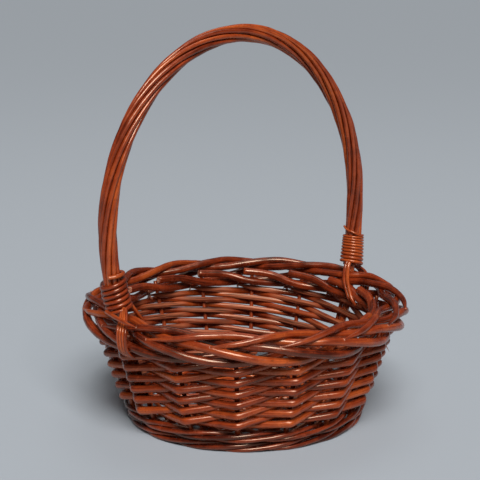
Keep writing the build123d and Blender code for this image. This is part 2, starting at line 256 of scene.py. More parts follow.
# Stage: floor, lamps by name, place, size and power, the wide light from above, and the camera.
FLOOR_SIZE = 60
FLOOR_ROUGHNESS = 0.8
LAMP_TARGET = (0, 0, 0.12)
LAMPS = [("key", (-1.3, -1.2, 2.2), 0.55, 14), ("top", (0.5, 0.5, 2.4), 1.2, 7)]
CEILING_TURN = (radians(37), radians(-24), 0)
CEILING_POWER = 3.15
CEILING_SPREAD = radians(28)
SURROUNDINGS = (0.085, 0.088, 0.091, 1)
CAMERA_PLACE = (-0.7506, -0.9363, 0.437)
CAMERA_DIP = 12.63
CAMERA_TURN = -38.50
CAMERA_LENS = 98
CAMERA_SENSOR = 36


def length(name, description, default):
    """A length that a user can change."""
    return FloatProperty(name=name, description=description, default=default, unit="LENGTH", precision=4)


def amount(name, description, default):
    """A plain number that a user can change."""
    return FloatProperty(name=name, description=description, default=default)


def count(name, description, default):
    """A number of rods, rounds or strokes that a user can change."""
    return IntProperty(name=name, description=description, default=default)


def colour(name, description, default):
    """A colour that a user can change."""
    return FloatVectorProperty(
        name=name, description=description, default=default, size=3, subtype="COLOR", min=0, max=1
    )


class WallSizes(PropertyGroup):
    """Stakes and side rods."""

    stakes: count("Stakes", "Upright rods round the wall", 16)
    turn: FloatProperty(
        name="Turn", description="Angle of the first stake", default=radians(3.155), subtype="ANGLE"
    )
    foot_radius: length("Foot radius", "Distance of the stakes from the axis at the ground", 0.105)
    flare: amount("Flare", "How far the wall leans out for each rise", 0.33)
    stake_radius: length("Stake radius", "Radius of a stake at its foot", 0.0024)
    stake_tip_radius: length("Stake tip radius", "Radius of a stake under the border", 0.0019)
    stake_bottom: length("Stake bottom", "Height of a stake's foot", 0.002)
    stake_top: length("Stake top", "Height of a stake's tip", 0.1015)
    rod_radius: length("Rod radius", "Radius of a side rod", 0.0033)
    first_height: length("First height", "Height of the first stroke", 0.029)
    pitch: length("Pitch", "Rise of a rod from one stake to the next", 0.0054)
    strokes: count("Strokes", "Stakes that a side rod passes", 12)
    reach: length("Reach", "Distance of a rod's line from the stake's", 0.0064)
    bow_reach: length("Bow reach", "Distance of a rod's line from the bow's", 0.0086)
    dip: length("Dip", "How far a rod is beaten down outside a stake, and lifted inside", 0.0008)
    wander: length("Wander", "How unevenly the rods lie", 0.0005)


class BorderSizes(PropertyGroup):
    """Plaited rods of the rim."""

    radius: length("Radius", "Distance of the border's middle from the axis", 0.1408)
    height: length("Height", "Height of the border's middle", 0.1043)
    rod_radius: length("Rod radius", "Radius of a border rod", 0.0038)
    bow_room: length("Bow room", "Distance of a rod's line from the bow's", 0.0082)
    outer_detour: amount("Outer detour", "Where a rod rounds the bow outside, from stake to bow", 0.5)
    inner_detour: amount("Inner detour", "Where a rod rounds the bow inside, from stake to bow", 1.2)


class FootSizes(PropertyGroup):
    """Two rounds of three-rod wale at the ground."""

    rod_radius: length("Rod radius", "Radius of a foot rod", 0.00205)
    rounds: count("Rounds", "Rounds of wale", 2)
    round_height: length("Round height", "Rise from one round to the next", 0.0098)
    flat: length("Flat", "How far the lowest rods are worn flat", 0.0005)


class BaseSizes(PropertyGroup):
    """Crossed sticks and thin weavers of the bottom."""

    height: length("Height", "Height of the base's middle", 0.0105)
    stick_radius: length("Stick radius", "Radius of a base stick", 0.0026)
    stick_reach: length("Stick reach", "Distance of a stick's end from the axis", 0.100)
    stick_pitch: length("Stick pitch", "Distance between two sticks at the cross", 0.0054)
    cross_reach: length("Cross reach", "Distance from the axis to where the sticks fan out", 0.013)
    weaver_radius: length("Weaver radius", "Radius of a base weaver", 0.0018)
    weaver_pitch: length("Weaver pitch", "Distance between two rounds of weave", 0.0044)


class HandleSizes(PropertyGroup):
    """Bow of the handle and the rope of rods round it."""

    bow_radius: length("Bow radius", "Radius of the core rod", 0.0037)
    border_top: length("Border top", "Height where the handle leaves the border", 0.114)
    foot_reach: length("Foot reach", "Half the span where the handle leaves the border", 0.137)
    shoulder_height: length("Shoulder height", "Height where the legs turn into the arch", 0.190)
    shoulder_reach: length("Shoulder reach", "Half the handle's span", 0.148)
    arch_rise: length("Arch rise", "Rise of the arch over the shoulders", 0.1705)
    lean: length("Lean", "How far the arch leans back", 0.007)
    rope_foot: length("Rope foot", "Height where the rope rods start", 0.123)
    rope_rods: count("Rope rods", "Rods twisted round the bow", 8)
    rope_rod_radius: length("Rope rod radius", "Radius of a rope rod", 0.00215)
    rope_ring: length("Rope ring", "Distance of a rope rod from the bow's line", 0.0062)
    rope_turns: amount("Rope turns", "Turns of the rope along the handle", -1.9)
    leg_share: amount("Leg share", "Share of the handle below the shoulders", 0.22)


class LashingSizes(PropertyGroup):
    """Rods wound round the feet of the handle and strapped over the border."""

    left_radius: length("Left radius", "Radius of the left lashing", 0.0019)
    left_low: length("Left low", "Lowest point of the left wraps", 0.123)
    left_high: length("Left high", "Highest point of the left wraps", 0.1524)
    left_wraps: amount("Left wraps", "Turns of the left lashing", 5.75)
    left_tilt: length("Left tilt", "How far the left wraps rise to one side", 0.0012)
    right_radius: length("Right radius", "Radius of the right lashing", 0.0014)
    right_low: length("Right low", "Lowest point of the right wraps", 0.123)
    right_high: length("Right high", "Highest point of the right wraps", 0.154)
    right_wraps: amount("Right wraps", "Turns of the right lashing", 9.25)
    right_taper: amount("Right taper", "How much the right lashing thins from foot to top", 0.5)
    right_tail_rise: length("Right tail rise", "How far the right lashing's end climbs", 0.008)
    clearance: length("Clearance", "Room between the rope and the wraps", 0.00025)
    strap_radius: length("Strap radius", "Radius of a strap", 0.0013)
    right_strap_radius: length("Right strap radius", "Radius of a right strap inside the border", 0.0018)
    outer_pitch: length("Outer pitch", "Distance between two straps outside the border", 0.0033)
    inner_pitch: length("Inner pitch", "Distance between two left inner straps", 0.0042)
    right_inner_pitch: length("Right inner pitch", "Distance between two right inner straps", 0.0050)


class Finish(PropertyGroup):
    """Colours of the stain, the cut ends and the stage."""

    deep: colour("Deep", "Stain where it lies thickest", (0.048, 0.004, 0.001))
    body: colour("Body", "Stain over most of a rod", (0.244, 0.030, 0.006))
    light: colour("Light", "Stain where it has rubbed thin", (0.560, 0.108, 0.018))
    split: colour("Split", "Stained pith of a split rod", (0.420, 0.125, 0.058))
    cut: colour("Cut", "Cut end of a rod", (0.580, 0.270, 0.165))
    floor: colour("Floor", "Floor under the basket", (0.397, 0.429, 0.463))


class BasketSettings(PropertyGroup):
    """Everything that a user can change."""

    wall: PointerProperty(type=WallSizes)
    border: PointerProperty(type=BorderSizes)
    foot: PointerProperty(type=FootSizes)
    base: PointerProperty(type=BaseSizes)
    handle: PointerProperty(type=HandleSizes)
    lashing: PointerProperty(type=LashingSizes)
    finish: PointerProperty(type=Finish)


def settings():
    """The basket's settings in this scene."""
    return bpy.context.scene.willow_basket


# Places on the basket

def around(radius, angle, height):
    """Point at a radius and an angle round the basket's axis."""
    return Vector((radius * cos(angle), radius * sin(angle), height))


def stake_line(height):
    """Distance of the stakes from the axis."""
    wall = settings().wall
    return wall.foot_radius + wall.flare * height


def stake_step():
    """Angle from one stake to the next."""
    return 2 * pi / settings().wall.stakes


def stake_angle(number):
    """Angle of a stake, which may be a fraction for a place between two stakes."""
    return settings().wall.turn + stake_step() * number


def beside_bow(number):
    """Whether a foot of the bow stands beside this stake."""
    return number % (settings().wall.stakes // 2) == 0


def handle_centre(share):
    """Point of the handle's middle line, from the left foot (0) over the top (0.5) to the right (1)."""
    handle = settings().handle
    side = -1 if share < 0.5 else 1
    rise = min(share, 1 - share) * 2
    if rise < handle.leg_share:
        height = handle.rope_foot + (handle.shoulder_height - handle.rope_foot) * rise / handle.leg_share
        below = (handle.shoulder_height - height) / (handle.shoulder_height - handle.border_top)
        spread = 1 - below**2
        reach = handle.foot_reach + (handle.shoulder_reach - handle.foot_reach) * spread
        return Vector((side * reach, handle.lean * spread, height))
    turn = pi / 2 * (rise - handle.leg_share) / (1 - handle.leg_share)
    height = handle.shoulder_height + handle.arch_rise * sin(turn)
    return Vector((side * handle.shoulder_reach * cos(turn), handle.lean, height))


def off_handle(share, distance, angle):
    """Point at a distance from the handle's middle line, turned from its outer side."""
    ahead = handle_centre(share + HANDLE_STEP)
    direction = (ahead - handle_centre(share - HANDLE_STEP)).normalized()
    outward = direction.cross(Vector((0, 1, 0))).normalized()
    sideways = outward.cross(direction)
    aside = outward * cos(angle) + sideways * sin(angle)
    return handle_centre(share) + aside * distance


# Rods

def near_one(chance, unevenness):
    """A random factor that makes a rod a little thicker or thinner."""
    return chance.uniform(1 - unevenness, 1 + unevenness)


def rod_directions(points):
    """Direction of a smooth rod at each of its points."""
    runs = [end - start for start, end in zip(points, points[1:])]
    inner = [
        (before.normalized() * after.length + after.normalized() * before.length).normalized()
        for before, after in zip(runs, runs[1:])
    ]
    return [runs[0].normalized()] + inner + [runs[-1].normalized()]


def bend_rod(name, points, radii, bends=None, rings=ROD_RINGS):
    """A rod bent through its points, as an open mesh tube."""
    bpy.ops.object.select_all(action="DESELECT")
    bpy.ops.curve.primitive_bezier_curve_add()
    line = bpy.context.object.data
    line.resolution_u = rings
    line.bevel_depth = 1
    # The section has four sides and two more for each step of its resolution.
    line.bevel_resolution = (ROD_SIDES - 4) // 2
    spline = line.splines[0]
    spline.bezier_points.add(len(points) - 2)
    spline.radius_interpolation = "EASE"
    bends = bends or [SMOOTH_BEND] * len(points)
    directions = rod_directions(points)
    for number, knot in enumerate(spline.bezier_points):
        point = points[number]
        before = (point - points[max(number - 1, 0)]).length
        after = (points[min(number + 1, len(points) - 1)] - point).length
        knot.handle_left_type = knot.handle_right_type = "FREE"
        knot.co = point
        knot.handle_left = point - directions[number] * (before * bends[number])
        knot.handle_right = point + directions[number] * (after * bends[number])
        knot.radius = radii[number]
    bpy.ops.object.convert(target="MESH")
    rod = bpy.context.object
    rod.name = name
    return rod


def ring_places(rod):
    """Places of an open tube's vertices, ring by ring."""
    places = np.empty(len(rod.data.vertices) * 3, np.float32)
    rod.data.vertices.foreach_get("co", places)
    return places.reshape(-1, ROD_SIDES, 3)


def write_attribute(rod, name, kind, values):
    """Stores one value for each vertex."""
    attribute = rod.data.attributes.new(name, kind, "POINT")
    field = "vector" if kind == "FLOAT_VECTOR" else "value"
    attribute.data.foreach_set(field, np.ravel(values).astype(np.float32))


def lay_grain(rod, tone, radius):
    """Writes how far along and round the rod each vertex lies, for the grain, and the rod's own tone."""
    rings = ring_places(rod)
    steps = np.linalg.norm(np.diff(rings.mean(axis=1), axis=0), axis=1)
    along = np.concatenate([[0], np.cumsum(steps)])
    turn = 2 * pi * np.arange(ROD_SIDES) / ROD_SIDES
    grain = np.empty(rings.shape)
    grain[..., 0] = along[:, None] + tone
    grain[..., 1] = radius * np.cos(turn)
    grain[..., 2] = radius * np.sin(turn)
    write_attribute(rod, "grain", "FLOAT_VECTOR", grain)
    write_attribute(rod, "tone", "FLOAT", np.full(rings.shape[:2], tone))


def close_ends(rod, radius):
    """Closes a tube with cut ends, each with a small chamfer and a hollow of pith."""
    bpy.ops.object.mode_set(mode="EDIT")
    bpy.ops.mesh.select_mode(type="FACE")
    bpy.ops.mesh.select_all(action="SELECT")
    bpy.ops.mesh.fill_holes(sides=0)
    bpy.ops.mesh.select_all(action="DESELECT")
    bpy.ops.mesh.select_face_by_sides(number=4, type="GREATER")
    bpy.ops.mesh.inset(thickness=radius * CHAMFER_WIDTH, depth=radius * CHAMFER_HEIGHT)
    rod.active_material_index = 1
    bpy.ops.object.material_slot_assign()
    bpy.ops.mesh.inset(thickness=radius * CUT_RIM_WIDTH, depth=0)
    bpy.ops.mesh.inset(thickness=radius * PITH_EDGE_WIDTH, depth=-radius * PITH_DEPTH)
    bpy.ops.object.mode_set(mode="OBJECT")


def roughen(rod, strength):
    """Gives a rod the small swellings of real willow."""
    swelling = rod.modifiers.new("Swelling", "DISPLACE")
    swelling.texture = willow_swellings()
    swelling.texture_coords = "LOCAL"
    swelling.strength = strength
    bpy.ops.object.modifier_apply(modifier="Swelling")


def willow_swellings():
    """Soft noise at the scale of a rod's swellings."""
    texture = bpy.data.textures.get("Willow swellings")
    if texture is None:
        texture = bpy.data.textures.new("Willow swellings", "CLOUDS")
        texture.noise_scale = SWELLING_SIZE
    return texture


def make_rod(name, points, radii, chance, bends=None, rings=ROD_RINGS, shape=None, pale=0):
    """A finished rod: bent, grained, closed and roughened. Shape is a function for the open tube."""
    rod = bend_rod(name, points, radii, bends, rings)
    radius = max(radii)
    lay_grain(rod, chance.random() + pale, radius)
    if shape:
        shape(rod)
    rod.data.materials.append(varnished_willow())
    rod.data.materials.append(cut_willow())
    close_ends(rod, radius)
    roughen(rod, radius * SWELLING_HEIGHT)
    return rod


def join_rods(name, rods):
    """Several rods as one piece."""
    bpy.ops.object.select_all(action="DESELECT")
    for rod in rods:
        rod.select_set(True)
    bpy.context.view_layer.objects.active = rods[0]
    bpy.ops.object.join()
    rods[0].name = name
    return rods[0]


def settle(piece, node):
    """Puts a finished piece in place of its node."""
    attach(piece, BODY)
    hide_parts(node)


# Materials

def add_node(tree, kind, **values):
    """A node with some of its inputs or settings filled in."""
    node = tree.nodes.new(kind)
    for name, value in values.items():
        if name in node.inputs:
            node.inputs[name].default_value = value
        else:
            setattr(node, name, value)
    return node


def noise_of(tree, vector, scale, detail):
    """Noise over a vector, stretched by a scale for each of its axes."""
    mapping = add_node(tree, "ShaderNodeMapping", Scale=scale)
    noise = add_node(tree, "ShaderNodeTexNoise", Scale=1.0, Detail=detail, Roughness=NOISE_ROUGHNESS)
    tree.links.new(vector, mapping.inputs["Vector"])
    tree.links.new(mapping.outputs["Vector"], noise.inputs["Vector"])
    return noise.outputs["Fac"]


def reckon(tree, operation, first, second):
    """The sum or product of two values, each a number or a socket."""
    node = add_node(tree, "ShaderNodeMath", operation=operation)
    for number, value in enumerate((first, second)):
        if isinstance(value, (int, float)):
            node.inputs[number].default_value = value
        else:
            tree.links.new(value, node.inputs[number])
    return node.outputs[0]


def weigh(tree, *parts, start=0.0):
    """A start value and several sockets added up, each socket times its weight."""
    total = start
    for socket, weight in parts:
        total = reckon(tree, "ADD", total, reckon(tree, "MULTIPLY", socket, weight))
    return total


def ramp_of(tree, value, stops):
    """Colours or greys along a value."""
    ramp = add_node(tree, "ShaderNodeValToRGB")
    elements = ramp.color_ramp.elements
    while len(elements) < len(stops):
        elements.new(0.5)
    for element, (place, shade) in zip(elements, stops):
        element.position = place
        element.color = (*shade, 1) if hasattr(shade, "__len__") else (shade, shade, shade, 1)
    tree.links.new(value, ramp.inputs["Fac"])
    return ramp.outputs["Color"]


def mix_colours(tree, blend, factor, first, second):
    """Two colours mixed by a factor, each a colour or a socket."""
    node = add_node(tree, "ShaderNodeMix", data_type="RGBA", blend_type=blend)
    for name, value in (("Factor", factor), ("A", first), ("B", second)):
        sockets = [socket for socket in node.inputs if socket.name == name and socket.enabled]
        if isinstance(value, bpy.types.NodeSocket):
            tree.links.new(value, sockets[0])
        elif name == "Factor":
            sockets[0].default_value = value
        else:
            sockets[0].default_value = (*value, 1)
    return [socket for socket in node.outputs if socket.enabled][0]


def raise_relief(tree, shader, height, strength, distance):
    """Lets a height raise the surface."""
    bump = add_node(tree, "ShaderNodeBump", Strength=strength, Distance=distance)
    tree.links.new(height, bump.inputs["Height"])
    tree.links.new(bump.outputs["Normal"], shader.inputs["Normal"])


def new_material(name):
    """An empty material and its shader."""
    material = bpy.data.materials.new(name)
    material.use_nodes = True
    return material, material.node_tree.nodes["Principled BSDF"]


def varnished_willow():
    """Red-brown stain over willow grain, under a gloss varnish that is thin on split pith."""
    if "Varnished willow" in bpy.data.materials:
        return bpy.data.materials["Varnished willow"]
    finish = settings().finish
    material, shader = new_material("Varnished willow")
    tree = material.node_tree
    grain = add_node(tree, "ShaderNodeAttribute", attribute_name="grain").outputs["Vector"]
    tone = add_node(tree, "ShaderNodeAttribute", attribute_name="tone").outputs["Fac"]
    split = add_node(tree, "ShaderNodeAttribute", attribute_name="split").outputs["Fac"]
    place = add_node(tree, "ShaderNodeTexCoord").outputs["Object"]
    streaks = noise_of(tree, grain, *STREAKS)
    fibres = noise_of(tree, grain, *FIBRES)
    flecks = noise_of(tree, grain, *FLECKS)
    mottle = noise_of(tree, place, *MOTTLE)
    blotch = noise_of(tree, place, *BLOTCH)
    shifted_tone = reckon(tree, "ADD", tone, TONE_SHIFT)
    lightness = weigh(
        tree,
        (streaks, STREAK_STAIN),
        (mottle, MOTTLE_STAIN),
        (blotch, BLOTCH_STAIN),
        (shifted_tone, TONE_STAIN),
    )
    colours = (finish.deep, finish.body, finish.light)
    stain = ramp_of(tree, lightness, list(zip(STAIN_STOPS, colours)))
    specks = ramp_of(tree, flecks, FLECK_SHADES)
    stain = mix_colours(tree, "MULTIPLY", FLECK_STRENGTH, stain, specks)
    pith = mix_colours(tree, "MULTIPLY", 1.0, finish.split, ramp_of(tree, fibres, PITH_SHADES))
    tree.links.new(mix_colours(tree, "MIX", split, stain, pith), shader.inputs["Base Color"])
    rough = weigh(tree, (mottle, MOTTLE_ROUGHNESS), (split, SPLIT_ROUGHNESS), start=VARNISH_ROUGHNESS)
    tree.links.new(rough, shader.inputs["Roughness"])
    split_fibres = reckon(tree, "MULTIPLY", fibres, split)
    height = weigh(
        tree, (streaks, STREAK_RELIEF), (mottle, MOTTLE_RELIEF), (split_fibres, FIBRE_RELIEF)
    )
    raise_relief(tree, shader, height, *VARNISH_RELIEF)
    for name, value in VARNISH_GLOSS.items():
        shader.inputs[name].default_value = value
    return material


def cut_willow():
    """Pale pith and rings of a cut end, stained where the varnish soaked in."""
    if "Cut willow" in bpy.data.materials:
        return bpy.data.materials["Cut willow"]
    finish = settings().finish
    material, shader = new_material("Cut willow")
    tree = material.node_tree
    place = add_node(tree, "ShaderNodeTexCoord").outputs["Object"]
    speckle = noise_of(tree, place, *SPECKLE)
    shade = ramp_of(tree, speckle, list(zip(CUT_STOPS, (finish.body, finish.cut))))
    tree.links.new(shade, shader.inputs["Base Color"])
    raise_relief(tree, shader, speckle, *CUT_RELIEF)
    shader.inputs["Roughness"].default_value = CUT_ROUGHNESS
    return material


# Pieces

class BASKET_OT_stakes(Operator):
    """Stand the stakes round the wall"""

    bl_idname = "basket.stakes"
    bl_label = "Side Stakes"

    def execute(self, context):
        wall = settings().wall
        chance = Random(STAKE_SEED)
        rise = wall.stake_top - wall.stake_bottom
        thinning = wall.stake_radius - wall.stake_tip_radius
        heights = [wall.stake_bottom + rise * share for share in STAKE_KNOTS]
        radii = [wall.stake_radius - thinning * share for share in STAKE_KNOTS]
        rods = []
        for number in range(wall.stakes):
            points = [around(stake_line(height), stake_angle(number), height) for height in heights]
            rods.append(make_rod("stake", points, radii, chance))
        settle(join_rods("side_stakes_willow", rods), "side_stakes")
        return {"FINISHED"}


def side_rod_way(first, chance):
    """Points, radii and bends of a side rod: outside one stake, inside the next, a pitch up at each."""
    wall = settings().wall
    points, radii, bends = [], [], []

    def add(stroke, offset, bend, shift=0):
        height = wall.first_height + wall.pitch * stroke + chance.uniform(-1, 1) * wall.wander
        height += -wall.dip if offset > 0 else wall.dip
        angle = stake_angle(first + stroke) - shift
        points.append(around(stake_line(height) + offset, angle, height))
        taper = SIDE_BUTT_GIRTH - SIDE_THINNING * max(stroke, 0) / wall.strokes
        girth = OUTSIDE_GIRTH if offset > 0 else INSIDE_GIRTH
        radii.append(wall.rod_radius * girth * taper * near_one(chance, SIDE_UNEVENNESS))
        bends.append(bend)

    add(-SIDE_LEAD_IN, -wall.reach, SMOOTH_BEND)
    for stroke in range(wall.strokes):
        beside = beside_bow(first + stroke)
        reach = wall.bow_reach if beside else wall.reach
        shift = wall.turn / 2 if beside else 0
        if stroke % 2 == 0:
            add(stroke, reach, KINK_BEND, shift)
        else:
            add(stroke, -reach, SMOOTH_BEND, shift)
    add(wall.strokes - 1 + SIDE_RUN_OUT, SIDE_END_SPRING * MM - wall.reach, SMOOTH_BEND)
    radii[-1] = wall.rod_radius * SIDE_TIP_GIRTH
    return points, radii, bends


def split_inside(chance):
    """A shape function that splits a side rod's inner face where it passes inside a stake."""
    wall = settings().wall
    strengths = np.array([chance.uniform(0, 1) ** SPLIT_POWER for _ in range(wall.strokes + 2)])

    def shape(rod):
        rings = ring_places(rod)
        middles = rings.mean(axis=1)
        spread = np.hypot(middles[:, 0], middles[:, 1])
        level = np.zeros(len(spread))
        inward = np.stack([-middles[:, 0] / spread, -middles[:, 1] / spread, level], axis=1)
        inside = wall.foot_radius + wall.flare * middles[:, 2] - spread
        stroke = np.arange(len(rings)) * (wall.strokes + 1) / (len(rings) - 1)
        strength = np.interp(stroke, np.arange(wall.strokes + 2), strengths)
        opening = np.clip((inside - SPLIT_START * MM) / (SPLIT_OPENING * MM), 0, 1) * strength
        offsets = rings - middles[:, None]
        reach = np.einsum("ijk,ik->ij", offsets, inward)
        facing = reach / np.linalg.norm(offsets, axis=2)
        facing = np.clip((facing - SPLIT_FACING_START) / SPLIT_FACING_OPENING, 0, 1)
        split = opening[:, None] * facing
        cut = SPLIT_DEPTH * split * np.clip(reach, 0, None)
        rings = rings - inward[:, None] * cut[..., None]
        rod.data.vertices.foreach_set("co", rings.astype(np.float32).ravel())
        write_attribute(rod, "split", "FLOAT", split)

    return shape


class BASKET_OT_side_rods(Operator):
    """Weave the side rods between the stakes"""

    bl_idname = "basket.side_rods"
    bl_label = "Side Rods"

    def execute(self, context):
        for number in range(settings().wall.stakes):
            chance = Random(SIDE_SEED + number)
            name = f"side_rod_{number + 1:02d}"
            points, radii, bends = side_rod_way(number, chance)
            rod = make_rod(f"{name}_willow", points, radii, chance, bends, shape=split_inside(chance))
            settle(rod, name)
        return {"FINISHED"}


def bow_line(height):
    """Distance of the bow from the axis where it passes the border."""
    handle = settings().handle
    wall_height = BOW_FOOT_HEIGHTS[-1] * MM
    share = (height - wall_height) / (handle.rope_foot - wall_height)
    return stake_line(wall_height) * (1 - share) + handle_centre(1).x * share


def border_point(number, out, up):
    """Place on the border at a stake, moved aside where a rod would meet the bow beside that stake."""
    border = settings().border
    height = border.height + up
    angle = stake_angle(number)
    bow_out = bow_line(height) - border.radius
    room = border.bow_room
    if beside_bow(number) and abs(out - bow_out) < BOW_DETOUR_SHARE * room:
        outside = out > bow_out + room / 2
        angle = angle - settings().wall.turn * (border.outer_detour if outside else border.inner_detour)
        out = bow_out + (room if outside else -room)
    return around(border.radius + out, angle, height)


class BASKET_OT_border(Operator):
    """Plait the border along the rim"""

    bl_idname = "basket.border"
    bl_label = "Border"

    def execute(self, context):
        border = settings().border
        for number in range(settings().wall.stakes):
            chance = Random(BORDER_SEED + number)
            name = f"border_rod_{number + 1:02d}"
            points = [border_point(number - steps, out * MM, up * MM) for steps, out, up in BORDER_WAY]
            knots = len(points)
            girths = [BORDER_BUTT_GIRTH - BORDER_THINNING * knot / knots for knot in range(knots)]
            girths[-len(BORDER_TIP_GIRTHS):] = BORDER_TIP_GIRTHS
            radii = [border.rod_radius * girth * near_one(chance, BORDER_UNEVENNESS) for girth in girths]
            rod = make_rod(
                f"{name}_willow", points, radii, chance, rings=BORDER_RINGS, pale=BORDER_PALE
            )
            settle(rod, name)
        return {"FINISHED"}


def wear_flat(rod):
    """Flattens what would lie below the ground."""
    for vertex in rod.data.vertices:
        vertex.co.z = max(vertex.co.z, 0)


class BASKET_OT_foot(Operator):
    """Twist the foot rods round the stakes"""

    bl_idname = "basket.foot"
    bl_label = "Foot"

    def execute(self, context):
        foot = settings().foot
        wall = settings().wall
        reach = wall.stake_radius + foot.rod_radius + FOOT_FIT_GAP * MM
        for number in range(foot.rounds * len(FOOT_FIRST_STROKES)):
            round_number, rod_number = divmod(number, len(FOOT_FIRST_STROKES))
            chance = Random(FOOT_SEED + number)
            floor = foot.rod_radius - foot.flat + foot.round_height * round_number
            first, strokes = FOOT_FIRST_STROKES[rod_number]
            points = []
            for stroke in range(strokes):
                for steps, out, rise in FOOT_STROKE:
                    height = floor + rise * MM
                    stake = first + FOOT_STROKE_STAKES * (round_number + stroke) + steps
                    points.append(around(stake_line(height) + reach * out, stake_angle(stake), height))
            radii = [foot.rod_radius * near_one(chance, FOOT_UNEVENNESS) for _ in points]
            name = f"foot_rod_{number + 1}"
            rod = make_rod(f"{name}_willow", points, radii, chance, rings=FOOT_RINGS, pale=FOOT_PALE)
            wear_flat(rod)
            settle(rod, name)
        return {"FINISHED"}


def cross_level():
    """How far the two layers of base sticks lie above and below the base's middle."""
    return settings().base.stick_radius + BASE_CROSS_GAP * MM


def cross_angle():
    """Direction of the lower base sticks."""
    return stake_angle(0.5)


def base_sticks(angle, level):
    """Points of four sticks side by side at the middle, fanning out on both sides."""
    base = settings().base
    sticks = []
    for place in BASE_STICK_PLACES:
        aside = around(base.stick_pitch * place, angle + pi / 2, 0)
        ahead = around(base.cross_reach, angle, base.height + level) + aside
        behind = around(-base.cross_reach, angle, base.height + level) + aside
        first = around(base.stick_reach, angle + pi - stake_step() * place, base.height)
        last = around(base.stick_reach, angle + stake_step() * place, base.height)
        sticks.append([first, first.lerp(behind, 0.5), behind, ahead, ahead.lerp(last, 0.5), last])
    return sticks


def stick_level(radius, angle):
    """How far the sticks at a place lie above or below the base's middle."""
    base = settings().base
    fade = (base.stick_reach - radius) / (base.stick_reach - base.cross_reach)
    return cross_level() * fade * (-1 if cos(2 * (angle - cross_angle())) > 0 else 1)


def base_weavers(together, rods, first_radius, turns):
    """Points of thin rods spiralling out across the sticks, one over where the other is under."""
    base = settings().base
    crossings = settings().wall.stakes // together
    step = 2 * pi / crossings
    lift = base.stick_radius + base.weaver_radius + BASE_WEAVE_GAP * MM
    first_angle = cross_angle() + stake_step() * BASE_FIRST_STEPS[together]
    half_width = radians(BASE_CROSSING_HALF_WIDTHS[together])
    weave = []
    for rod in range(rods):
        places = [(first_angle - step / 2, 0)]
        for crossing in range(crossings * turns):
            over = lift if (crossing + rod) % 2 == 0 else -lift
            middle = first_angle + step * crossing
            places += [(angle, over) for angle in sorted({middle - half_width, middle + half_width})]
        places.append((first_angle + 2 * pi * turns - step / 2, 0))
        points = []
        for angle, over in places:
            radius = first_radius + base.weaver_pitch * (rod + rods * (angle - first_angle) / (2 * pi))
            level = stick_level(radius, angle) + over if over else 0
            points.append(around(radius, angle, base.height + level))
        weave.append(points)
    return weave


class BASKET_OT_base(Operator):
    """Cross the base sticks and weave the bottom"""

    bl_idname = "basket.base"
    bl_label = "Base"

    def execute(self, context):
        base = settings().base
        chance = Random(BASE_SEED)

        def lay(name, ways, radius, rings):
            rods = [make_rod("rod", way, [radius] * len(way), chance, rings=rings) for way in ways]
            settle(join_rods(f"{name}_willow", rods), name)

        layers = [("base_sticks_lower", 0, -cross_level()), ("base_sticks_upper", pi / 2, cross_level())]
        for name, turn, level in layers:
            lay(name, base_sticks(cross_angle() + turn, level), base.stick_radius, ROD_RINGS)
        for name, together, weavers, first_radius, turns in BASE_ROUNDS:
            ways = base_weavers(together, weavers, first_radius * MM, turns)
            lay(name, ways, base.weaver_radius, WEAVER_RINGS)
        return {"FINISHED"}


class BASKET_OT_handle(Operator):
    """Bend the bow and twist the rope rods round it"""

    bl_idname = "basket.handle"
    bl_label = "Handle"

    def execute(self, context):
        handle = settings().handle
        feet = [around(stake_line(height * MM), 0, height * MM) for height in BOW_FOOT_HEIGHTS]
        arch = [handle_centre(knot / BOW_ARCH_KNOTS) for knot in range(BOW_ARCH_KNOTS + 1)]
        left = [Vector((-point.x, 0, point.z)) for point in feet]
        way = left + arch + feet[::-1]
        bow = make_rod("handle_bow_willow", way, [handle.bow_radius] * len(way), Random(BOW_SEED))
        settle(bow, "handle_bow")
        for number in range(handle.rope_rods):
            chance = Random(ROPE_SEED + number)
            points = []
            for knot in range(ROPE_KNOTS + 1):
                share = knot / ROPE_KNOTS
                angle = 2 * pi * (number / handle.rope_rods + handle.rope_turns * share)
                ring = handle.rope_ring + chance.uniform(-ROPE_STRAY, ROPE_STRAY) * MM
                points.append(off_handle(share, ring, angle))
            girth = handle.rope_rod_radius * chance.uniform(*ROPE_GIRTHS)
            radii = [girth * near_one(chance, ROPE_UNEVENNESS) for _ in points]
            name = f"handle_rope_rod_{number + 1}"
            rod = make_rod(f"{name}_willow", points, radii, chance, pale=ROPE_PALE)
            settle(rod, name)
        return {"FINISHED"}


def wrap_point(side, radius, height, angle):
    """Place of a lashing's line round the foot of the handle."""
    handle = settings().handle
    leg = (handle.shoulder_height - handle.rope_foot) / handle.leg_share * 2
    up = (height - handle.rope_foot) / leg
    ring = handle.rope_ring + handle.rope_rod_radius + settings().lashing.clearance + radius
    return off_handle(up if side < 0 else 1 - up, ring, angle)


def wrap_way(side, rod_radius, low, high, wraps, tilt=0, taper=0, tail_rise=0):
    """Points and radii of a rod wound round the foot of the handle, and of its tail if that rises."""
    knots = round(wraps * WRAP_KNOTS)
    tail = TAIL_KNOTS if tail_rise else 0
    points, radii = [], []
    for knot in range(knots + tail + 1):
        share = min(knot / knots, 1)
        angle = -2 * pi / WRAP_KNOTS * knot
        radius = rod_radius * (1 + taper * (0.5 - share))
        climb = share * (1 + taper * (1 - share) / 2)
        height = low + rod_radius + (high - low - 2 * rod_radius) * climb
        height += tail_rise * max(knot - knots, 0) / TAIL_KNOTS
        height += tilt * (WRAP_TILT_GROWTH * share + WRAP_TILT_START) * cos(angle - WRAP_TILT_ANGLE)
        points.append(wrap_point(side, radius, height, angle))
        radii.append(radius)
    return points, radii


